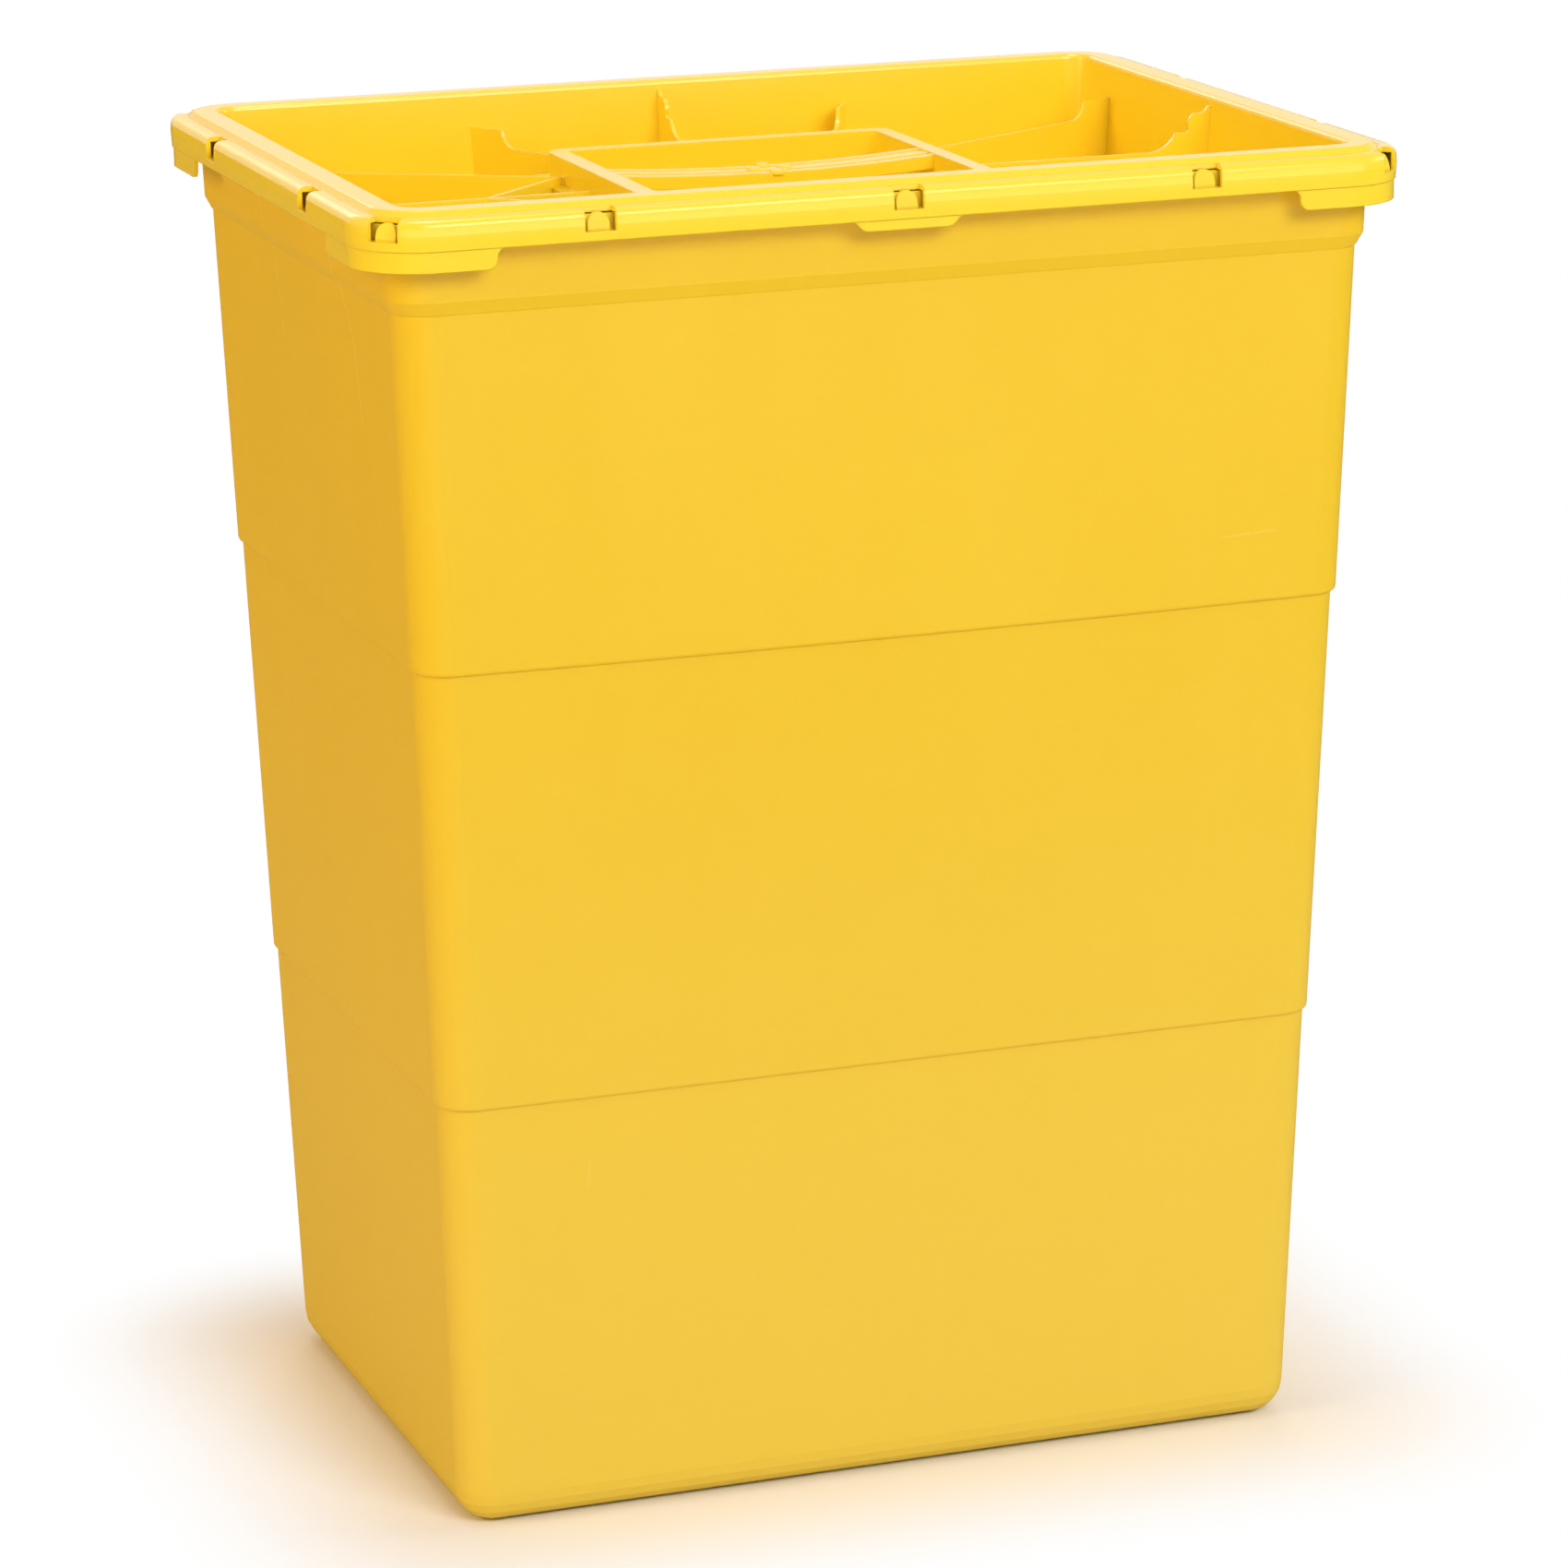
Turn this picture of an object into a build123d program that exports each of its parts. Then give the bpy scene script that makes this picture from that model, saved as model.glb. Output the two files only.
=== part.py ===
from build123d import *
import os
from math import acos, cos, degrees, atan2, hypot, radians, sin, tan

# Medical waste container: a tapered three-tier box with a press-on lid.
# Millimetres, +Z up, origin on the floor at the middle of the base.
# Long walls face -Y and +Y, short walls face -X and +X.

# Footprint of the shut container, over the skirt of its lid
lid_length = 400.0
lid_width = 297.0

# Body outside
wall_draft = 0.033
lower_step_z = 164.9
upper_step_z = 329.5
collar_below_top = 32.4
body_top_z = 492.8
lower_step = 1.15
upper_step = 1.4
collar_step_short_walls = 2.4
collar_step_long_walls = 1.8
step_rise = 1.6
collar_rise = 5.0
collar_foot_rise = 0.5
collar_foot_share = 0.2
body_corner_radius = 14.0
base_edge_radius = 13.0
base_edge_facets = 5
cavity_edge_facets = 2

# Slight outward bow of the long walls and pull-in of the short walls at the upper step
long_wall_bow = 4.0
short_wall_bow = -0.9

# Body walls
body_wall = 2.4
base_recess_depth = 1.8
base_recess_margin = 24.0

# Flange round the top of the body, just under the lid, and the upstand that carries the nubs
flange_gap = 6.3
flange_thickness = 2.1
upstand_inset = 4.8
upstand_thickness = 2.2
upstand_clearance = 0.5

# Lid: how far its skirt stands out from the collar on each pair of walls, and its wall
overhang_short_walls = 11.7
overhang_long_walls = 10.4
lid_corner_radius = 27.0
lid_wall = 2.0
flange_edge_inset = 3.0
skirt_drop = 13.3
seal_height = 3.5
seal_gap = 0.3

# Rim section of the lid, measured inwards from the outer face of the skirt
shoulder_drop = 1.9
shoulder_radius = 3.0
shoulder_facets = 5
groove_inset = 7.2
groove_depth = 0.6
bead_outer_inset = 9.2
bead_outer_radius = 0.8
bead_outer_facets = 2
bead_inner_inset = 18.5
bead_inner_radius = 1.9
bead_inner_facets = 3
skirt_bulge = 0.35

# Recess of the lid
recess_depth = 47.0
recess_draft = 0.085

# Catch windows in the skirt and the nubs of the body that show in them
window_width = 11.4
window_inset = 5.8
window_sill = 3.3
long_side_window_x = 115.0
short_side_window_y = 65.0
nub_width = 8.0
nub_height = 6.8
nub_clearance = 0.45
nub_foot_height = 1.2
nub_lead_in = 1.5
nub_arch_facets = 8

# Tabs under the skirt
tab_setback = 0.9
tab_wall = 1.3
mid_tab_length = 44.0
mid_tab_drop = 3.8
corner_tab_reach_long_side = 51.0
corner_tab_reach_short_side = 60.0
corner_tab_drop = 7.5
tab_shoulder = 7.0

# Central frame of the lid and the step that it stands on
frame_length = 139.6
frame_width = 120.0
frame_below_rim = 13.4
frame_flange = 7.0
frame_corner_radius = 6.5
well_corner_radius = 3.5
frame_edge_chamfer = 0.5
pedestal_margin = 6.0
pedestal_below_frame = 10.4

# Crossbar grip
grip_width = 20.0
grip_height = 5.0
grip_below_frame = 0.7
grip_sag = 2.6
grip_wall = 2.2
grip_groove_width = 2.6
grip_groove_depth = 0.7
grip_groove_y = 4.6
boss_radius = 3.0
boss_facets = 12
boss_height = 0.9
boss_draft = 25.0
boss_reach_along = 6.1
boss_reach_across = 8.2

# Stacking ribs of the recess
rib_thickness = 1.8
rib_level_below_rim = 20.5
ledge_below_rim = 13.6
ledge_length = 16.5
ledge_curve = 8.5
side_rib_wall_y = 100.0
side_rib_frame_y = 36.0
end_rib_wall_x = 77.5
end_rib_frame_x = 41.0
mid_rib_below_rim = 3.8
strut_reach = 40.0

# Sizes that follow from the ones above
lid_half_x = lid_length / 2
lid_half_y = lid_width / 2
collar_half_x = lid_half_x - overhang_short_walls
collar_half_y = lid_half_y - overhang_long_walls
collar_z = body_top_z - collar_below_top
tier_steps = lower_step + upper_step
base_half_x = collar_half_x - wall_draft * body_top_z - tier_steps - collar_step_short_walls
base_half_y = collar_half_y - wall_draft * body_top_z - tier_steps - collar_step_long_walls
flange_z = body_top_z - flange_gap
rim_z = body_top_z + seal_gap + seal_height + lid_wall
shoulder_z = rim_z - shoulder_drop
skirt_z = rim_z - skirt_drop
floor_z = rim_z - recess_depth
frame_z = rim_z - frame_below_rim
pedestal_z = frame_z - pedestal_below_frame
window_z = skirt_z + window_sill
wall_foot_inset = bead_inner_inset + recess_draft * recess_depth
frame_half_x = frame_length / 2
frame_half_y = frame_width / 2


def outline(half_x, half_y, radius, z, bow_long=0.0, bow_short=0.0):
    """Rounded rectangle at height z, its long and short sides bowed outwards."""
    corners = [(-half_x, -half_y), (half_x, -half_y), (half_x, half_y), (-half_x, half_y)]
    middles = [
        (0, -half_y - bow_long),
        (half_x + bow_short, 0),
        (0, half_y + bow_long),
        (-half_x - bow_short, 0),
    ]
    with BuildSketch(Plane.XY.offset(z)) as sketch:
        with BuildLine():
            for index in range(4):
                start = corners[index]
                end = corners[(index + 1) % 4]
                bow = bow_short if index % 2 else bow_long
                if abs(bow) < 1e-6:
                    Line(start, end)
                else:
                    ThreePointArc(start, middles[index], end)
        make_face()
        fillet(sketch.vertices(), radius)
    return sketch.sketch


def lid_outline(inset, z):
    """Outline that follows the lid's outer edge, a given distance inside it."""
    return outline(lid_half_x - inset, lid_half_y - inset, lid_corner_radius - inset, z)


def wall_bow(z, bow_at_step):
    """Bow of a wall at height z: none at the lower step and the collar, most at the upper step."""
    if z <= lower_step_z or z >= collar_z:
        return 0.0
    if z <= upper_step_z:
        return bow_at_step * (z - lower_step_z) / (upper_step_z - lower_step_z)
    return bow_at_step * (collar_z - z) / (collar_z - upper_step_z)


def rounded_step(foot_z, rise, turns):
    """Heights and shares of a step that starts as a ledge and curves up into the wall."""
    return [(foot_z + rise * (1 - cos(radians(turn))), sin(radians(turn))) for turn in turns]


def wall_levels(top_z, turns):
    """Heights of the box's sections, each with its outward steps on the short and long walls."""
    levels = []
    for z, share in rounded_step(lower_step_z, step_rise, turns):
        levels.append((z, lower_step * share, lower_step * share))
    for z, share in rounded_step(upper_step_z, step_rise, turns):
        out = lower_step + upper_step * share
        levels.append((z, out, out))
    collar_slope = [
        (collar_z, 0.0),
        (collar_z + collar_foot_rise, collar_foot_share),
        (collar_z + collar_rise, 1.0),
    ]
    for z, share in collar_slope:
        short = tier_steps + collar_step_short_walls * share
        long = tier_steps + collar_step_long_walls * share
        levels.append((z, short, long))
    levels.append((top_z, levels[-1][1], levels[-1][2]))
    return levels


def body_section(level, inset):
    """One level section of the box, inset from its outer face."""
    z, out_x, out_y = level
    grown = wall_draft * z - inset
    return outline(
        base_half_x + grown + out_x,
        base_half_y + grown + out_y,
        body_corner_radius - inset,
        z,
        wall_bow(z, long_wall_bow),
        wall_bow(z, short_wall_bow),
    )


def base_rounding(foot_z, radius, facets, inset):
    """Sections of the rounded edge between the base and the walls."""
    sections = []
    for index in range(facets + 1):
        turn = radians(90 * index / facets)
        z = foot_z + radius * (1 - cos(turn))
        sections.append(body_section((z, 0.0, 0.0), inset + radius * (1 - sin(turn))))
    return sections


def edges_at(shape, z):
    """Edges that lie level at height z."""
    return shape.edges().filter_by_position(Axis.Z, z - 0.01, z + 0.01)


def box_outside():
    """Outer form of the box, with its rounded base edge and the soft ledges of its tiers."""
    sections = base_rounding(0.0, base_edge_radius, base_edge_facets, 0.0)
    sections += [body_section(level, 0.0) for level in wall_levels(body_top_z, (0, 30, 60, 90))]
    return loft(sections, ruled=True)


def box_cavity():
    """Space inside the box, open at the top."""
    inside_floor = body_wall + base_recess_depth
    radius = base_edge_radius - body_wall
    sections = base_rounding(inside_floor, radius, cavity_edge_facets, body_wall)
    sections += [body_section(level, body_wall) for level in wall_levels(body_top_z + 1.0, (0, 90))]
    return loft(sections, ruled=True)


def stations(half_x, half_y, radius):
    """Places of the catches on an outline: x, y and the direction that each one faces."""
    places = []
    for side in (-1, 1):
        for x in (-long_side_window_x, 0.0, long_side_window_x):
            places.append((x, side * half_y, side * 90.0))
        for y in (-short_side_window_y, short_side_window_y):
            places.append((side * half_x, y, 0.0 if side > 0 else 180.0))
        for end in (-1, 1):
            x = end * (half_x - radius + radius * cos(radians(45)))
            y = side * (half_y - radius + radius * sin(radians(45)))
            places.append((x, y, degrees(atan2(side, end))))
    return places


def catch_nub():
    """Half-round nub facing +X, its foot at z = 0 and x = 0, its face leaning back for the lid."""
    half_width = nub_width / 2
    straight = nub_height - half_width
    depth = upstand_inset + 0.5 - lid_wall - nub_clearance
    arch = [radians(180 * index / nub_arch_facets) for index in range(nub_arch_facets + 1)]
    points = [(half_width * cos(turn), straight + half_width * sin(turn)) for turn in arch]
    with BuildSketch(Plane.YZ.offset(-depth)) as face:
        with BuildLine():
            Polyline((-half_width, 0), (half_width, 0), *points, close=True)
        make_face()
    with BuildSketch(Plane.XZ) as side:
        with BuildLine():
            Polyline(
                (-depth, -1),
                (0, -1),
                (0, nub_foot_height),
                (-nub_lead_in, nub_height),
                (-depth, nub_height + 1),
                close=True,
            )
        make_face()
    return extrude(face.sketch, depth) & extrude(side.sketch, nub_width, both=True)


def container_body():
    """The whole box as one moulding."""
    solid = box_outside() - box_cavity()
    flange_hole = outline(
        collar_half_x - 1, collar_half_y - 1, body_corner_radius - 1, flange_z - 1
    )
    flange = extrude(lid_outline(flange_edge_inset, flange_z), flange_thickness)
    flange -= extrude(flange_hole, flange_thickness + 2)
    solid += flange
    upstand_top = shoulder_z - lid_wall - upstand_clearance
    upstand_height = upstand_top - flange_z - flange_thickness / 2
    upstand_foot = flange_z + flange_thickness / 2
    upstand = extrude(lid_outline(upstand_inset, upstand_foot), upstand_height)
    upstand -= extrude(
        lid_outline(upstand_inset + upstand_thickness, upstand_foot - 1), upstand_height + 2
    )
    solid += upstand
    inset = lid_wall + nub_clearance
    nub = catch_nub()
    nub_foot = flange_z + flange_thickness - 0.3
    for x, y, angle in stations(lid_half_x, lid_half_y, lid_corner_radius):
        place = Location((x, y, nub_foot), (0, 0, angle)) * Location((-inset, 0, 0))
        solid += place * nub
    recess = extrude(
        outline(
            base_half_x - base_recess_margin,
            base_half_y - base_recess_margin,
            body_corner_radius,
            0.0,
        ),
        base_recess_depth,
    )
    return solid - recess


def rim_path():
    """Outer edge of the lid, starting at the middle of the front."""
    hx = lid_half_x
    hy = lid_half_y
    r = lid_corner_radius
    bend = r * (1 - cos(radians(45)))
    with BuildLine() as path:
        Line((0, -hy), (hx - r, -hy))
        ThreePointArc((hx - r, -hy), (hx - bend, -hy + bend), (hx, -hy + r))
        Line((hx, -hy + r), (hx, hy - r))
        ThreePointArc((hx, hy - r), (hx - bend, hy - bend), (hx - r, hy))
        Line((hx - r, hy), (-hx + r, hy))
        ThreePointArc((-hx + r, hy), (-hx + bend, hy - bend), (-hx, hy - r))
        Line((-hx, hy - r), (-hx, -hy + r))
        ThreePointArc((-hx, -hy + r), (-hx + bend, -hy + bend), (-hx + r, -hy))
        Line((-hx + r, -hy), (0, -hy))
    return path.wire()


def soft_corner(before, corner, after, radius, facets):
    """Points that round the corner of a section in a few equal facets."""
    legs = []
    for end in (before, after):
        length = hypot(end[0] - corner[0], end[1] - corner[1])
        legs.append(((end[0] - corner[0]) / length, (end[1] - corner[1]) / length))
    opening = acos(legs[0][0] * legs[1][0] + legs[0][1] * legs[1][1])
    along = (legs[0][0] + legs[1][0], legs[0][1] + legs[1][1])
    reach = radius / sin(opening / 2) / hypot(*along)
    centre = (corner[0] + along[0] * reach, corner[1] + along[1] * reach)
    setback = radius / tan(opening / 2)
    spokes = []
    for leg in legs:
        foot = (corner[0] + leg[0] * setback, corner[1] + leg[1] * setback)
        spokes.append((foot[0] - centre[0], foot[1] - centre[1]))
    turn = acos(-cos(opening))
    points = []
    for index in range(facets + 1):
        first = sin(turn * (facets - index) / facets) / sin(turn)
        last = sin(turn * index / facets) / sin(turn)
        points.append(
            (
                centre[0] + first * spokes[0][0] + last * spokes[1][0],
                centre[1] + first * spokes[0][1] + last * spokes[1][1],
            )
        )
    return points


def swept_ring(points):
    """Closed section of (inset, height) points swept round the lid."""
    section_plane = Plane(origin=(0, -lid_half_y, 0), x_dir=(0, 1, 0), z_dir=(1, 0, 0))
    with BuildSketch(section_plane) as section:
        with BuildLine():
            Polyline(*points, close=True)
        make_face()
    return sweep(section.sketch, path=rim_path())


def lid_rim():
    """Rim of the lid: skirt, shoulder, groove, raised bead and the wall of the recess."""
    under = shoulder_z - lid_wall
    channel = rim_z - lid_wall
    channel_outer = bead_outer_inset + lid_wall - 0.2
    channel_inner = bead_inner_inset - lid_wall
    foot_inset = wall_foot_inset - lid_wall
    skirt_middle = (0.0, (skirt_z + shoulder_z) / 2)
    shoulder = (skirt_bulge, shoulder_z)
    groove_start = (groove_inset - 1.0, shoulder_z)
    groove = (groove_inset, shoulder_z - groove_depth)
    bead_outer = (bead_outer_inset, rim_z)
    bead_inner = (bead_inner_inset, rim_z)
    wall_foot = (wall_foot_inset, floor_z)
    points = [(skirt_bulge, skirt_z), skirt_middle]
    points += soft_corner(skirt_middle, shoulder, groove_start, shoulder_radius, shoulder_facets)
    points += [groove_start, groove]
    points += soft_corner(groove, bead_outer, bead_inner, bead_outer_radius, bead_outer_facets)
    points += soft_corner(bead_outer, bead_inner, wall_foot, bead_inner_radius, bead_inner_facets)
    points += [
        wall_foot,
        (wall_foot_inset, floor_z - lid_wall),
        (foot_inset, floor_z - lid_wall),
        (channel_inner, channel),
        (channel_outer, channel),
        (groove_inset + lid_wall, under),
        (lid_wall, under),
        (lid_wall, skirt_z),
    ]
    return swept_ring(points)


def cavity_of_recess(grow):
    """Space of the lid's recess, grown sideways by a given amount."""
    top = outline(
        lid_half_x - bead_inner_inset + grow,
        lid_half_y - bead_inner_inset + grow,
        lid_corner_radius - bead_inner_inset + grow,
        rim_z,
    )
    foot = outline(
        lid_half_x - wall_foot_inset + grow,
        lid_half_y - wall_foot_inset + grow,
        lid_corner_radius - bead_inner_inset + grow,
        floor_z - lid_wall / 2,
    )
    return loft([foot, top], ruled=True)


def tab_profile(half_length, flat_half_length, top, bottom):
    """Outline of a tab, symmetric about x = 0, with S-shaped ends."""
    middle = (half_length + flat_half_length) / 2
    half_way = (top + bottom) / 2
    with BuildSketch() as sketch:
        with BuildLine():
            Line((-half_length, top + 1), (-half_length, top))
            for side in (-1, 1):
                TangentArc(
                    (side * half_length, top), (side * middle, half_way), tangent=(-side, 0)
                )
                TangentArc(
                    (side * flat_half_length, bottom), (side * middle, half_way), tangent=(side, 0)
                )
            Line((-flat_half_length, bottom), (flat_half_length, bottom))
            Line((half_length, top), (half_length, top + 1))
            Line((half_length, top + 1), (-half_length, top + 1))
        make_face()
    return sketch.sketch


def upright_prism(profile, axis, low, high, shift=0.0):
    """Profile drawn across X or Y, standing upright and extruded along the other axis."""
    if axis == "X":
        plane = Plane(origin=(shift, low, 0), x_dir=(1, 0, 0), z_dir=(0, -1, 0))
        return extrude(plane * profile, low - high)
    plane = Plane(origin=(low, shift, 0), x_dir=(0, 1, 0), z_dir=(1, 0, 0))
    return extrude(plane * profile, high - low)


def lid_tabs():
    """Deeper tabs under the skirt: one in the middle of each long side, one round each corner."""
    r = lid_corner_radius
    tab_foot = skirt_z - corner_tab_drop
    band = extrude(lid_outline(tab_setback, tab_foot), corner_tab_drop + 0.8)
    band -= extrude(lid_outline(tab_setback + tab_wall, tab_foot - 1), corner_tab_drop + 2.8)
    mid_half = mid_tab_length / 2
    mid = tab_profile(mid_half, mid_half - tab_shoulder, skirt_z, skirt_z - mid_tab_drop)
    long_gap = lid_half_x - corner_tab_reach_long_side
    short_gap = lid_half_y - corner_tab_reach_short_side
    long_tab = tab_profile(
        corner_tab_reach_long_side, corner_tab_reach_long_side - tab_shoulder, skirt_z, tab_foot
    )
    short_tab = tab_profile(
        corner_tab_reach_short_side, corner_tab_reach_short_side - tab_shoulder, skirt_z, tab_foot
    )
    keep = []
    for side in (-1, 1):
        low_y = min(side * (lid_half_y - r - 1), side * (lid_half_y + 1))
        high_y = max(side * (lid_half_y - r - 1), side * (lid_half_y + 1))
        low_x = min(side * (lid_half_x - r - 1), side * (lid_half_x + 1))
        high_x = max(side * (lid_half_x - r - 1), side * (lid_half_x + 1))
        keep.append(upright_prism(mid, "X", low_y, high_y))
        for end in (-1, 1):
            keep.append(upright_prism(long_tab, "X", low_y, high_y, end * lid_half_x))
            keep.append(upright_prism(short_tab, "Y", low_x, high_x, end * lid_half_y))
    return [band & piece for piece in keep]


def window_cutter():
    """Box that cuts one catch window, its outer face just beyond the skirt."""
    depth = window_inset + 1.0
    height = rim_z - window_z + 1.0
    place = Location((1.0 - depth / 2, 0, window_z + height / 2))
    return place * Box(depth, window_width, height)


def stepped_rib_profile(length):
    """Top edge of a middle rib: two stacking ledges, then a fall to the level part."""
    upper = rim_z - mid_rib_below_rim
    ledge = rim_z - ledge_below_rim
    level = rim_z - rib_level_below_rim
    with BuildSketch() as sketch:
        with BuildLine():
            Line((-4, floor_z - lid_wall / 2), (-4, upper))
            Line((-4, upper), (0.4, upper))
            ThreePointArc((0.4, upper), (1.8, upper - 1.7), (3.4, upper - 2.4))
            Line((3.4, upper - 2.4), (6.0, upper - 2.6))
            ThreePointArc((6.0, upper - 2.6), (8.0, upper - 4.2), (8.6, ledge + 0.6))
            Line((8.6, ledge + 0.6), (9.2, ledge))
            Line((9.2, ledge), (13.9, ledge))
            ThreePointArc((13.9, ledge), (18.0, ledge - 4.6), (25.0, level))
            Line((25.0, level), (length, level))
            Line((length, level), (length, floor_z - lid_wall / 2))
            Line((length, floor_z - lid_wall / 2), (-4, floor_z - lid_wall / 2))
        make_face()
    return sketch.sketch


def ledge_rib_profile(length):
    """Top edge of a slanting rib: a stacking ledge, a hollow curve and the level part."""
    ledge = rim_z - ledge_below_rim
    level = rim_z - rib_level_below_rim
    fall = ledge - level
    end = ledge_length + ledge_curve
    with BuildSketch() as sketch:
        with BuildLine():
            Line((-6, floor_z - lid_wall / 2), (-6, ledge))
            Line((-6, ledge), (ledge_length, ledge))
            middle = (ledge_length + 0.3 * ledge_curve, ledge - 0.72 * fall)
            ThreePointArc((ledge_length, ledge), middle, (end, level))
            Line((end, level), (length, level))
            Line((length, level), (length, floor_z - lid_wall / 2))
            Line((length, floor_z - lid_wall / 2), (-6, floor_z - lid_wall / 2))
        make_face()
    return sketch.sketch


def plain_rib_profile(length):
    """A plate with a level top edge."""
    level = rim_z - rib_level_below_rim
    with BuildSketch() as sketch:
        with BuildLine():
            Polyline(
                (0, floor_z - lid_wall / 2),
                (0, level),
                (length, level),
                (length, floor_z - lid_wall / 2),
                close=True,
            )
        make_face()
    return sketch.sketch


def standing_rib(start, end, profile_of):
    """Upright plate from start to end, its top edge given by profile_of(length)."""
    dx = end[0] - start[0]
    dy = end[1] - start[1]
    length = hypot(dx, dy)
    plane = Plane(
        origin=(start[0], start[1], 0), x_dir=(dx, dy, 0), z_dir=(dy / length, -dx / length, 0)
    )
    return extrude(plane * profile_of(length), rib_thickness / 2, both=True)


def recess_ribs():
    """Stacking ribs between the wall of the recess and the central frame."""
    wall_x = lid_half_x - bead_inner_inset - recess_draft * ledge_below_rim
    wall_y = lid_half_y - bead_inner_inset - recess_draft * ledge_below_rim
    inside = 1.0
    ribs = []
    for side in (-1, 1):
        ribs.append(
            standing_rib((side * wall_x, 0), (side * (frame_half_x - inside), 0), stepped_rib_profile)
        )
        ribs.append(
            standing_rib((0, side * wall_y), (0, side * (frame_half_y - inside)), stepped_rib_profile)
        )
        for end in (-1, 1):
            ribs.append(
                standing_rib(
                    (side * wall_x, end * side_rib_wall_y),
                    (side * (frame_half_x - inside), end * side_rib_frame_y),
                    ledge_rib_profile,
                )
            )
            ribs.append(
                standing_rib(
                    (side * end_rib_wall_x, end * wall_y),
                    (side * end_rib_frame_x, end * (frame_half_y - inside)),
                    ledge_rib_profile,
                )
            )
    for end in (-1, 1):
        tip = (-frame_half_x - 1.5, end * (side_rib_frame_y + 1.0))
        foot = (tip[0] - strut_reach, 0.0)
        ribs.append(standing_rib(foot, tip, plain_rib_profile))
    room = cavity_of_recess(lid_wall / 2)
    return [rib & room for rib in ribs]


def block(half_x, half_y, radius, low, high):
    """Upright block with rounded corners."""
    return extrude(outline(half_x, half_y, radius, low), high - low)


def central_frame():
    """Raised frame on its step, as a solid block before its hollows are cut."""
    base = floor_z - lid_wall / 2
    upper = block(frame_half_x, frame_half_y, frame_corner_radius, base, frame_z)
    upper = chamfer(edges_at(upper, frame_z), frame_edge_chamfer)
    step_x = frame_half_x + pedestal_margin
    step_y = frame_half_y + pedestal_margin
    return upper + block(step_x, step_y, frame_corner_radius, base, pedestal_z)


def frame_hollows():
    """The well inside the frame, and the hollow under its ridge, open from below."""
    inner_x = frame_half_x - frame_flange
    inner_y = frame_half_y - frame_flange
    wall = lid_wall
    well = block(inner_x, inner_y, well_corner_radius, floor_z, frame_z + 1)
    under = floor_z - wall - 1
    ridge = block(
        frame_half_x - wall, frame_half_y - wall, frame_corner_radius - wall, under, frame_z - wall
    )
    step_x = frame_half_x + pedestal_margin - wall
    step_y = frame_half_y + pedestal_margin - wall
    step = block(step_x, step_y, frame_corner_radius - wall, under, pedestal_z - wall)
    core = block(inner_x + wall, inner_y + wall, well_corner_radius, under - 1, frame_z)
    return [well, ridge + step - core]


def grip_arc(half_length, top, sag, thickness):
    """Bowed strip in the XZ plane, centred on x = 0."""
    with BuildSketch(Plane.XZ) as sketch:
        with BuildLine():
            ThreePointArc((-half_length, top), (0, top - sag), (half_length, top))
            Line((half_length, top), (half_length, top - thickness))
            ThreePointArc(
                (half_length, top - thickness), (0, top - sag - thickness), (-half_length, top - thickness)
            )
            Line((-half_length, top - thickness), (-half_length, top))
        make_face()
    return sketch.sketch


def crossbar_grip():
    """Bowed channel across the frame, with two grooves and a small boss group in the middle."""
    top = frame_z - grip_below_frame
    half_length = frame_half_x - frame_flange + 1.0
    bar = extrude(grip_arc(half_length, top, grip_sag, grip_height), grip_width / 2, both=True)
    hollow_top = top - grip_wall
    hollow = extrude(
        grip_arc(half_length - 1.0, hollow_top, grip_sag, grip_height),
        grip_width / 2 - grip_wall,
        both=True,
    )
    bar -= hollow
    for side in (-1, 1):
        groove = extrude(
            grip_arc(half_length + 1, top + 1, grip_sag, grip_groove_depth + 1),
            grip_groove_width / 2,
            both=True,
        )
        bar -= Location((0, side * grip_groove_y, 0)) * groove
    along = boss_reach_along
    across = boss_reach_across
    for x, y in ((-along, 0.0), (along, 0.0), (0.0, across), (0.0, -across)):
        foot = RegularPolygon(boss_radius, boss_facets)
        boss = extrude(foot, 1.0) + Location((0, 0, 1.0)) * extrude(foot, boss_height, taper=boss_draft)
        bar += Location((x, y, top - grip_sag - 1.0)) * boss
    return bar


def lid():
    """The whole lid as one moulding."""
    solid = lid_rim()
    floor = block(
        lid_half_x - wall_foot_inset + 0.6,
        lid_half_y - wall_foot_inset + 0.6,
        lid_corner_radius - wall_foot_inset + 0.6,
        floor_z - lid_wall,
        floor_z,
    )
    solid = solid + floor + central_frame()
    for rib in recess_ribs():
        solid += rib
    for hollow in frame_hollows():
        solid -= hollow
    solid += crossbar_grip()
    for tab in lid_tabs():
        solid += tab
    cutter = window_cutter()
    for x, y, angle in stations(lid_half_x, lid_half_y, lid_corner_radius):
        solid -= Location((x, y, 0), (0, 0, angle)) * cutter
    return solid


def lid_seal():
    """Soft gasket in the channel under the bead, just above the lip of the body."""
    channel = rim_z - lid_wall
    bottom = body_top_z + seal_gap
    outer = bead_outer_inset + lid_wall - 0.1
    inner = bead_inner_inset - lid_wall - 0.1
    points = [(outer, channel), (outer, bottom), (inner, bottom), (inner, channel)]
    return swept_ring(points)


def write(name, shape):
    """Write one node and print what it holds."""
    shape.label = name
    export_step(shape, f"parts/{name}.step")
    size = shape.bounding_box().size
    print(name, len(shape.solids()), "solids", round(shape.volume), "mm3", size)


os.makedirs("parts", exist_ok=True)
write("container_body", container_body())
write("lid", lid())
write("lid_seal", lid_seal())
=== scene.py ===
import math

import bpy
from mathutils import Matrix, Vector


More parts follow.
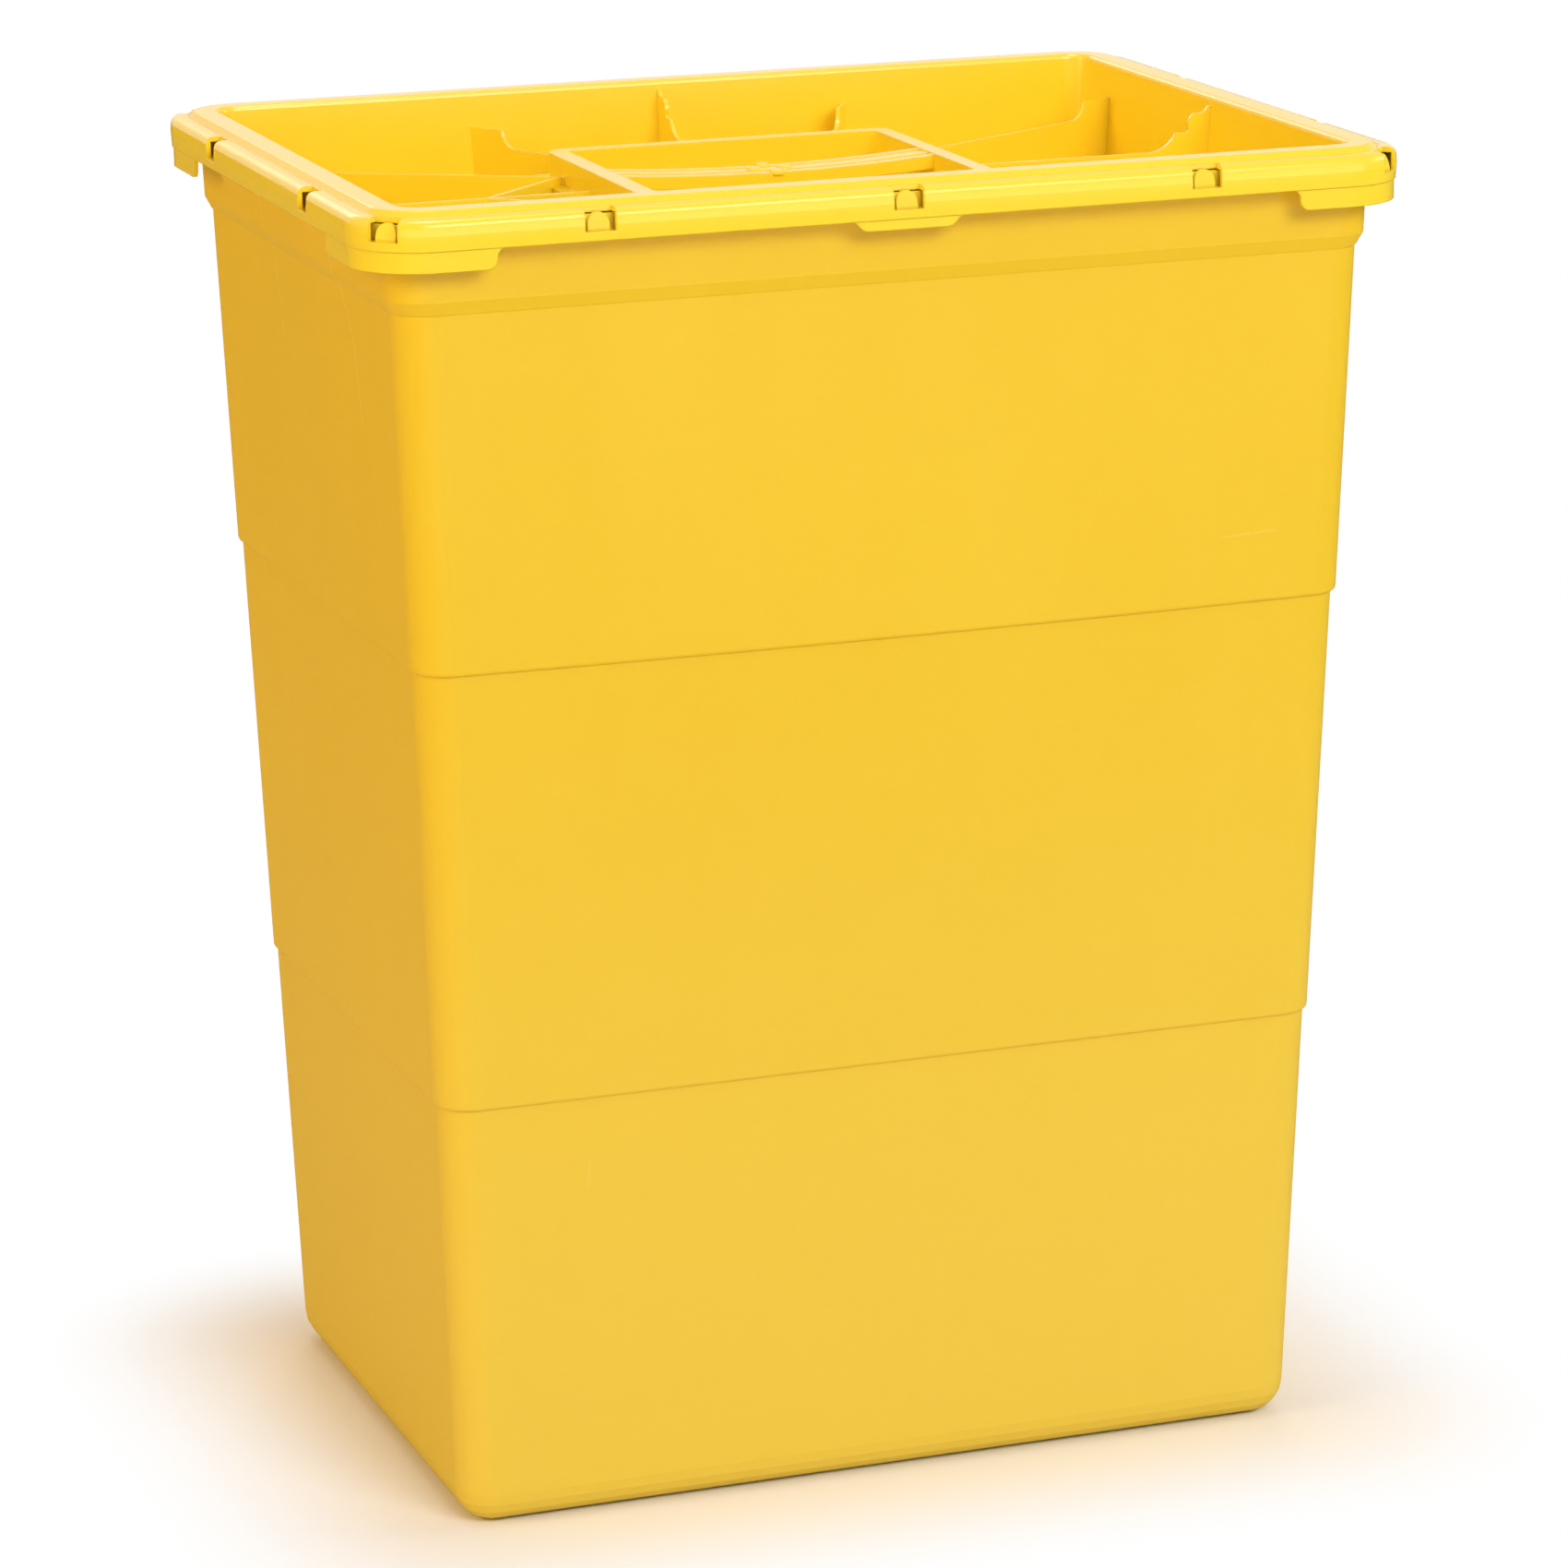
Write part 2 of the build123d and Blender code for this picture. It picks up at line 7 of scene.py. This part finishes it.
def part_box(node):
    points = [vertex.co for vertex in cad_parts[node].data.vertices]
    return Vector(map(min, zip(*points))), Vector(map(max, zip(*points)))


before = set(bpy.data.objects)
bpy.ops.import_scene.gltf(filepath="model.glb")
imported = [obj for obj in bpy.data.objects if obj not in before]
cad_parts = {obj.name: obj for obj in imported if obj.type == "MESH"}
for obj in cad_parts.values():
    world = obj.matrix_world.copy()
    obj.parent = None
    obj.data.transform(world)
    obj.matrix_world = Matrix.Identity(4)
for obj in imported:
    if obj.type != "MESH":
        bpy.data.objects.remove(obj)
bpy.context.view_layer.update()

# Camera of the photograph: place in metres, turns in degrees, focal length in pixels
camera_place = (-0.754006, -2.126532, 0.836453)
camera_yaw = -19.5905
camera_pitch = 14.7643
camera_roll = -0.7200
focal_px = 6531.64
frame_px = 1700.0
sensor_mm = 36.0

# Plastics: main colour, darker clouds, paler streaks and edges
body_colours = ((0.85, 0.585, 0.022), (0.83, 0.560, 0.018), (0.94, 0.70, 0.08))
lid_colours = ((0.98, 0.755, 0.030), (0.97, 0.730, 0.025), (0.98, 0.84, 0.12))
body_roughness = 0.36
lid_roughness = 0.18
body_gloss = 0.2
lid_gloss = 0.5
body_edge_radius = 0.0003
lid_edge_radius = 0.0007
plastic_ior = 1.49
wave_height = 0.0008
peel_height = 0.000010

# Paler colours of the box: painted bounce light from the white floor towards the foot, painted light on
# the flange with its nubs, which sit in shade in the lid's windows, and the marks
painted_bounce_colour = (0.86, 0.640, 0.085, 1)
painted_bounce_top_z = 0.40
painted_bounce_share = 0.80
# Painted light on the flange and nubs, which stand in shade inside the lid's windows
painted_nub_light_colour = (0.97, 0.74, 0.04, 1)
flange_z = 0.4855
mark_colour = (0.98, 0.76, 0.20, 1)
mark_share = 0.40
mark_height = 0.00005

# Rub marks of the front wall, in x and z, and weld lines of the left wall, in y and z
rub_marks = (
    ((0.128, 0.3555), (0.150, 0.3565), 0.0007),
    ((-0.118, 0.141), (-0.119, 0.130), 0.0009),
)
weld_lines = (
    ((-0.052, 0.479), (-0.057, 0.462), 0.0009),
    ((-0.057, 0.462), (-0.072, 0.441), 0.0009),
    ((-0.072, 0.441), (-0.076, 0.412), 0.0008),
    ((0.042, 0.480), (0.034, 0.462), 0.0007),
    ((0.034, 0.462), (0.026, 0.428), 0.0007),
)

# Skirt of the lid: heights, corner radius, and the bump that crowns it and leans its tabs
tab_foot_z = 0.4753
skirt_foot_z = 0.4853
skirt_shoulder_z = 0.4967
half_skirt = 0.0057
skirt_corner = 0.027
skirt_mask = (0.0045, 0.0025)
crown_curve = -9.0
tab_lean = 0.0010

# Floor: half its side, where the shadow fades out round the box, and its colours, with a darker one that
# glossy rays see: painted shade in the floor's reflection on the box
floor_half = 12.0
shadow_inset = 0.040
shadow_reach = 0.12
darkened_floor_reflection_colour = (0.30, 0.27, 0.20, 1)
white_colour = (1.0, 1.0, 1.0, 1)

# Points that the lamps aim at
middle = (0.0, 0.0, 0.35)
lid_middle = (0.0, 0.0, 0.49)


def place_camera():
    """Camera at the photograph's point of view."""
    data = bpy.data.cameras.new("photo_camera")
    data.sensor_width = sensor_mm
    data.lens = focal_px / frame_px * sensor_mm
    data.clip_start = 0.05
    data.clip_end = 60.0
    camera = bpy.data.objects.new("photo_camera", data)
    bpy.context.scene.collection.objects.link(camera)
    level = Matrix(((1, 0, 0), (0, 0, -1), (0, 1, 0)))
    yaw = Matrix.Rotation(math.radians(camera_yaw), 3, "Z")
    pitch = Matrix.Rotation(math.radians(camera_pitch), 3, "X")
    roll = Matrix.Rotation(math.radians(camera_roll), 3, "Z")
    turn = roll @ pitch @ level @ yaw.transposed()
    right = turn[0]
    up = -turn[1]
    back = -turn[2]
    columns = Matrix((right, up, back)).transposed()
    camera.matrix_world = Matrix.Translation(camera_place) @ columns.to_4x4()
    bpy.context.scene.camera = camera


class Nodes:
    """Adds and links the shader nodes of one material or world."""

    def __init__(self, owner):
        owner.use_nodes = True
        self.tree = owner.node_tree
        self.tree.nodes.clear()

    def add(self, kind, settings=None, **inputs):
        """Adds a node; inputs are given by name, as values or as sockets to link."""
        node = self.tree.nodes.new(kind)
        for key, value in (settings or {}).items():
            setattr(node, key, value)
        for key, value in inputs.items():
            self.feed(node, key, value)
        return node

    def feed(self, node, key, value):
        """Sets or links one input, found by its name or its index."""
        socket = node.inputs[int(key)] if key.isdigit() else node.inputs[key]
        if isinstance(value, bpy.types.NodeSocket):
            self.tree.links.new(value, socket)
        else:
            socket.default_value = value

    def math(self, operation, a, b=None, clamp=False):
        """One math node and its output."""
        node = self.tree.nodes.new("ShaderNodeMath")
        node.operation = operation
        node.use_clamp = clamp
        self.feed(node, "0", a)
        if b is not None:
            self.feed(node, "1", b)
        return node.outputs[0]

    def noise(self, vector, scale, detail=2.0, rough=0.5, distortion=0.0):
        """Fractal noise, 0 to 1 about 0.5."""
        node = self.add("ShaderNodeTexNoise", Vector=vector, Scale=scale, Detail=detail)
        node.inputs["Roughness"].default_value = rough
        node.inputs["Distortion"].default_value = distortion
        return node.outputs["Fac"]

    def span(self, value, low, high, to_low=0.0, to_high=1.0, smooth=True):
        """Maps low..high of a value to to_low..to_high, clamped."""
        node = self.tree.nodes.new("ShaderNodeMapRange")
        node.interpolation_type = "SMOOTHSTEP" if smooth else "LINEAR"
        node.clamp = True
        for index, item in enumerate((value, low, high, to_low, to_high)):
            self.feed(node, str(index), item)
        return node.outputs[0]

    def mix(self, factor, a, b):
        """Mixes two colours."""
        node = self.tree.nodes.new("ShaderNodeMix")
        node.data_type = "RGBA"
        node.clamp_factor = True
        self.feed(node, "0", factor)
        self.feed(node, "6", a)
        self.feed(node, "7", b)
        return node.outputs[2]

    def mix_shaders(self, factor, a, b):
        """Mixes two shaders."""
        node = self.add("ShaderNodeMixShader")
        self.feed(node, "0", factor)
        self.feed(node, "1", a.outputs[0])
        self.feed(node, "2", b.outputs[0])
        return node

    def show(self, shader, kind="ShaderNodeOutputMaterial"):
        """Links the last shader to the output."""
        self.add(kind, Surface=shader.outputs[0])


def stretched(nodes, vector, scale, turn=(0.0, 0.0, 0.0)):
    """Coordinates stretched and turned, for marks that run one way."""
    node = nodes.add("ShaderNodeMapping", Vector=vector, Scale=scale, Rotation=turn)
    return node.outputs[0]


def length_of(nodes, a, b):
    """Length of a flat vector."""
    square_a = nodes.math("MULTIPLY", a, a)
    square_b = nodes.math("MULTIPLY", b, b)
    return nodes.math("SQRT", nodes.math("ADD", square_a, square_b))


def distance_outwards(nodes, axes, high, inset):
    """Flat distance outwards from a rectangle that lies inset metres inside a box."""
    offsets = []
    for axis, reach in (("X", high[0]), ("Y", high[1])):
        from_middle = nodes.math("ABSOLUTE", axes.outputs[axis])
        offset = nodes.math("SUBTRACT", from_middle, reach - inset)
        offsets.append(nodes.math("MAXIMUM", offset, 0.0))
    return length_of(nodes, *offsets)


def line_mark(nodes, across, along, start, end, width):
    """Soft line from start to end on a wall, in the two coordinates of the wall."""
    run = (end[0] - start[0], end[1] - start[1])
    length_sq = run[0] ** 2 + run[1] ** 2
    from_a = nodes.math("SUBTRACT", across, start[0])
    from_l = nodes.math("SUBTRACT", along, start[1])
    part_a = nodes.math("MULTIPLY", from_a, run[0])
    part_l = nodes.math("MULTIPLY", from_l, run[1])
    share = nodes.math("ADD", part_a, part_l)
    share = nodes.math("DIVIDE", share, length_sq, clamp=True)
    off_a = nodes.math("SUBTRACT", from_a, nodes.math("MULTIPLY", share, run[0]))
    off_l = nodes.math("SUBTRACT", from_l, nodes.math("MULTIPLY", share, run[1]))
    return nodes.span(length_of(nodes, off_a, off_l), 0.0, width, 1.0, 0.0)


def line_marks(nodes, across, along, lines):
    """Mask of several soft lines on one wall."""
    masks = [line_mark(nodes, across, along, *line) for line in lines]
    total = masks[0]
    for mask in masks[1:]:
        total = nodes.math("MAXIMUM", total, mask)
    return total


def yellow_plastic(name, colours, roughness, edge_radius, gloss, marks):
    """Moulded polypropylene: cloudy colour, flow streaks, orange peel, hairlines and paler edges."""
    colour, deep, pale = ((*shade, 1) for shade in colours)
    material = bpy.data.materials.new(name)
    nodes = Nodes(material)
    place = nodes.add("ShaderNodeTexCoord").outputs["Object"]
    geometry = nodes.add("ShaderNodeNewGeometry")

    # Patterns
    clouds = nodes.noise(place, 7.0, 2.0, 0.55)
    streaks = nodes.noise(stretched(nodes, place, (38.0, 38.0, 6.0)), 1.0, 2.0, 0.6, 0.6)
    mottle = nodes.noise(place, 420.0, 1.0, 0.6)

    # Edges, where the rounded normal leaves the flat one
    rounded = nodes.add("ShaderNodeBevel", {"samples": 4}, Radius=edge_radius)
    facing = nodes.add("ShaderNodeVectorMath", {"operation": "DOT_PRODUCT"})
    nodes.feed(facing, "0", rounded.outputs[0])
    nodes.feed(facing, "1", geometry.outputs["Normal"])
    edge = nodes.span(facing.outputs["Value"], 0.995, 0.80)
    patches = nodes.span(nodes.noise(place, 60.0, 2.0, 0.6), 0.40, 0.75)
    edge_wear = nodes.math("MULTIPLY", edge, patches)

    # Hairline scratches
    vector = stretched(nodes, place, (1.0, 1.0, 0.16), (0.5, -0.7, 3.1))
    cells = nodes.add("ShaderNodeTexVoronoi", {"feature": "DISTANCE_TO_EDGE"}, Vector=vector, Scale=17.0)
    thin = nodes.span(cells.outputs["Distance"], 0.0, 0.005, 1.0, 0.0)
    scratches = nodes.math("MULTIPLY", thin, nodes.span(streaks, 0.60, 0.72))

    # Colour
    shade = nodes.mix(nodes.span(clouds, 0.3, 0.7, 0.0, 0.40), colour, deep)
    shade = nodes.mix(nodes.span(streaks, 0.35, 0.75, 0.0, 0.06), shade, pale)
    shade = nodes.mix(nodes.span(mottle, 0.3, 0.7, 0.0, 0.05), shade, deep)
    shade = nodes.mix(nodes.math("MULTIPLY", edge_wear, 0.22), shade, pale)
    shade = nodes.mix(nodes.math("MULTIPLY", scratches, 0.16), shade, pale)

    # Roughness
    rough = nodes.math("ADD", roughness, nodes.span(clouds, 0.3, 0.7, -0.03, 0.04))
    rough = nodes.math("ADD", rough, nodes.span(mottle, 0.3, 0.7, -0.01, 0.015))
    rough = nodes.math("ADD", rough, nodes.math("MULTIPLY", scratches, 0.15))

    # Relief: slow waves and orange peel, with the marks of the piece
    waves = nodes.math("MULTIPLY", nodes.noise(place, 11.0, 1.0, 0.5), wave_height)
    peel = nodes.math("MULTIPLY", nodes.noise(place, 260.0, 1.0, 0.5), peel_height)
    shade, height = marks(nodes, place, shade, nodes.math("ADD", waves, peel))
    bump = nodes.add("ShaderNodeBump", Height=height, Strength=1.0, Distance=1.0)
    nodes.feed(bump, "Normal", rounded.outputs[0])

    shader = nodes.add("ShaderNodeBsdfPrincipled", Roughness=rough, Normal=bump.outputs[0])
    nodes.feed(shader, "Base Color", shade)
    shader.inputs["IOR"].default_value = plastic_ior
    shader.inputs["Specular IOR Level"].default_value = gloss
    nodes.show(shader)
    return material


def seal_foam():
    """Pale soft gasket with an open-cell surface."""
    material = bpy.data.materials.new("seal_foam")
    nodes = Nodes(material)
    place = nodes.add("ShaderNodeTexCoord").outputs["Object"]
    cells = nodes.add("ShaderNodeTexVoronoi", Vector=place, Scale=1400.0).outputs["Distance"]
    tone = nodes.noise(place, 60.0, 3.0, 0.6)
    shade = nodes.mix(nodes.span(tone, 0.3, 0.7), (0.74, 0.71, 0.63, 1), (0.66, 0.62, 0.53, 1))
    shade = nodes.mix(nodes.span(cells, 0.0, 0.35, 0.5, 0.0), shade, (0.45, 0.41, 0.34, 1))
    rough = nodes.span(tone, 0.3, 0.7, 0.82, 0.94)
    bump = nodes.add("ShaderNodeBump", Height=cells, Strength=0.6, Distance=0.0002)
    shader = nodes.add("ShaderNodeBsdfPrincipled", Roughness=rough, Normal=bump.outputs[0])
    nodes.feed(shader, "Base Color", shade)
    nodes.show(shader)
    return material


def wall_marks(nodes, place, shade, height):
    """Painted floor bounce towards the foot, painted light on the flange and nubs, rub marks on the
    front wall and weld lines on the left wall.
    """
    axes = nodes.add("ShaderNodeSeparateXYZ", Vector=place)
    x = axes.outputs["X"]
    y = axes.outputs["Y"]
    z = axes.outputs["Z"]
    on_front = nodes.span(y, -0.105, -0.108, 0.0, 0.5)
    on_left = nodes.span(x, -0.160, -0.165)
    rubs = nodes.math("MULTIPLY", line_marks(nodes, x, z, rub_marks), on_front)
    welds = nodes.math("MULTIPLY", line_marks(nodes, y, z, weld_lines), on_left)
    lines = nodes.math("MAXIMUM", rubs, welds)
    # Painted bounce light: paler towards the foot, as the white floor would light it
    painted_bounce = nodes.span(z, 0.0, painted_bounce_top_z, painted_bounce_share, 0.0)
    shade = nodes.mix(painted_bounce, shade, painted_bounce_colour)
    # Painted light: paler, yellower colour from the flange up, on the flange, upstand and nubs in the
    # shaded windows
    shade = nodes.mix(nodes.span(z, flange_z, flange_z + 0.001), shade, painted_nub_light_colour)
    shade = nodes.mix(nodes.math("MULTIPLY", lines, mark_share), shade, mark_colour)
    height = nodes.math("ADD", height, nodes.math("MULTIPLY", lines, mark_height))
    return shade, height


def crowned_skirt(nodes, place, shade, height):
    """Slight crown on the outer face of the lid's skirt, and a slight lean of its tabs."""
    axes = nodes.add("ShaderNodeSeparateXYZ", Vector=place)
    z = axes.outputs["Z"]
    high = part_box("lid")[1]
    distance = distance_outwards(nodes, axes, high, skirt_corner)
    inner, outer = (skirt_corner - inset for inset in skirt_mask)
    on_skirt = nodes.span(distance, inner, outer, smooth=False)
    off_z = nodes.span(z, skirt_foot_z, skirt_shoulder_z, -half_skirt, half_skirt, smooth=False)
    crown = nodes.math("MULTIPLY", nodes.math("MULTIPLY", off_z, off_z), crown_curve)
    lean = nodes.span(z, tab_foot_z, skirt_foot_z, -tab_lean, 0.0, smooth=False)
    relief = nodes.math("MULTIPLY", nodes.math("ADD", crown, lean), on_skirt)
    return shade, nodes.math("ADD", height, relief)


def dress():
    """Gives each node of the part its material."""
    body = yellow_plastic(
        "body_polypropylene", body_colours, body_roughness, body_edge_radius, body_gloss, wall_marks,
    )
    cover = yellow_plastic(
        "lid_polypropylene", lid_colours, lid_roughness, lid_edge_radius, lid_gloss, crowned_skirt,
    )
    for node, material in (("container_body", body), ("lid", cover), ("lid_seal", seal_foam())):
        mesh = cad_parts[node].data
        mesh.materials.clear()
        mesh.materials.append(material)


def floor():
    """Pale floor with the shadow near the box, plain white to the camera further off, and darker to
    glossy rays: painted shade in its reflection.
    """
    half = floor_half
    mesh = bpy.data.meshes.new("studio_floor")
    corners = [(-half, -half, 0), (half, -half, 0), (half, half, 0), (-half, half, 0)]
    mesh.from_pydata(corners, [], [(0, 1, 2, 3)])
    plane = bpy.data.objects.new("studio_floor", mesh)
    bpy.context.scene.collection.objects.link(plane)
    material = bpy.data.materials.new("studio_floor")
    nodes = Nodes(material)
    place = nodes.add("ShaderNodeTexCoord").outputs["Object"]
    tone = nodes.noise(place, 3.0, 2.0, 0.5)
    path = nodes.add("ShaderNodeLightPath")
    shade = nodes.mix(nodes.span(tone, 0.3, 0.7), (0.93, 0.93, 0.94, 1), (0.91, 0.91, 0.92, 1))
    # Glossy rays see a darker floor: painted shade in the floor's reflection on the box
    shade = nodes.mix(path.outputs["Is Glossy Ray"], shade, darkened_floor_reflection_colour)
    matt = nodes.add("ShaderNodeBsdfDiffuse", Color=shade)
    white = nodes.add("ShaderNodeEmission", Color=white_colour, Strength=1.0)
    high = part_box("container_body")[1]
    axes = nodes.add("ShaderNodeSeparateXYZ", Vector=place)
    distance = distance_outwards(nodes, axes, high, shadow_inset)
    far = nodes.span(distance, 0.0, shadow_reach)
    seen = nodes.math("MULTIPLY", far, path.outputs["Is Camera Ray"])
    nodes.show(nodes.mix_shaders(seen, matt, white))
    mesh.materials.append(material)


def sky():
    """White to camera, glossy and transmission rays, and a soft warm light to the rest."""
    world = bpy.data.worlds.new("studio")
    nodes = Nodes(world)
    bpy.context.scene.world = world
    direction = nodes.add("ShaderNodeTexCoord").outputs["Generated"]
    up = nodes.add("ShaderNodeSeparateXYZ", Vector=direction).outputs["Z"]
    level = nodes.span(up, 0.0, 0.85, 0.20, 0.50)
    soft = nodes.add("ShaderNodeBackground", Color=(1.0, 0.84, 0.72, 1), Strength=level)
    white = nodes.add("ShaderNodeBackground", Color=white_colour, Strength=1.0)
    path = nodes.add("ShaderNodeLightPath")
    seen = nodes.math("MAXIMUM", path.outputs["Is Camera Ray"], path.outputs["Is Glossy Ray"])
    seen = nodes.math("MAXIMUM", seen, path.outputs["Is Transmission Ray"])
    nodes.show(nodes.mix_shaders(seen, soft, white), "ShaderNodeOutputWorld")


def lamp(name, place, target, size, watts, colour=(1.0, 1.0, 1.0)):
    """Rectangular soft light aimed at a point."""
    data = bpy.data.lights.new(name, "AREA")
    data.shape = "RECTANGLE"
    data.size = size[0]
    data.size_y = size[1]
    data.energy = watts
    data.color = colour
    light = bpy.data.objects.new(name, data)
    light.location = place
    direction = Vector(target) - Vector(place)
    light.rotation_euler = direction.to_track_quat("-Z", "Y").to_euler()
    light.visible_camera = False
    bpy.context.scene.collection.objects.link(light)
    return light


def lights():
    """Key in front, warm fill from the left, weaker lights round it, and cards for the gloss."""
    lamp("top_light", (0.0, 0.2, 2.2), (0.0, 0.0, 0.4), (1.6, 1.2), 6.5, (1.0, 0.74, 0.56))
    lamp("key_light", (0.4, -2.4, 1.75), middle, (1.6, 1.0), 36.0)
    back = lamp("back_light", (0.7, 2.4, 1.5), middle, (1.4, 1.0), 15.0, (1.0, 0.84, 0.68))
    back.visible_glossy = False
    cards = (
        lamp("front_card", (0.10, -1.7, 0.30), (0.10, -0.15, 0.49), (3.2, 0.50), 11.0),
        lamp("top_card", (0.0, 0.0, 2.2), lid_middle, (0.6, 0.6), 9.0),
        lamp("back_card", (-0.4, 2.4, 1.55), lid_middle, (1.2, 0.5), 4.5),
    )
    for card in cards:
        card.visible_diffuse = False
    lamp("fill_light", (-2.5, -0.5, 1.2), middle, (1.0, 1.4), 26.0, (1.0, 0.69, 0.28))
    lamp("right_light", (2.4, -0.6, 1.3), (0.0, 0.0, 0.45), (1.0, 1.0), 10.0)


place_camera()
dress()
floor()
sky()
lights()
bpy.context.scene.view_settings.view_transform = "Standard"
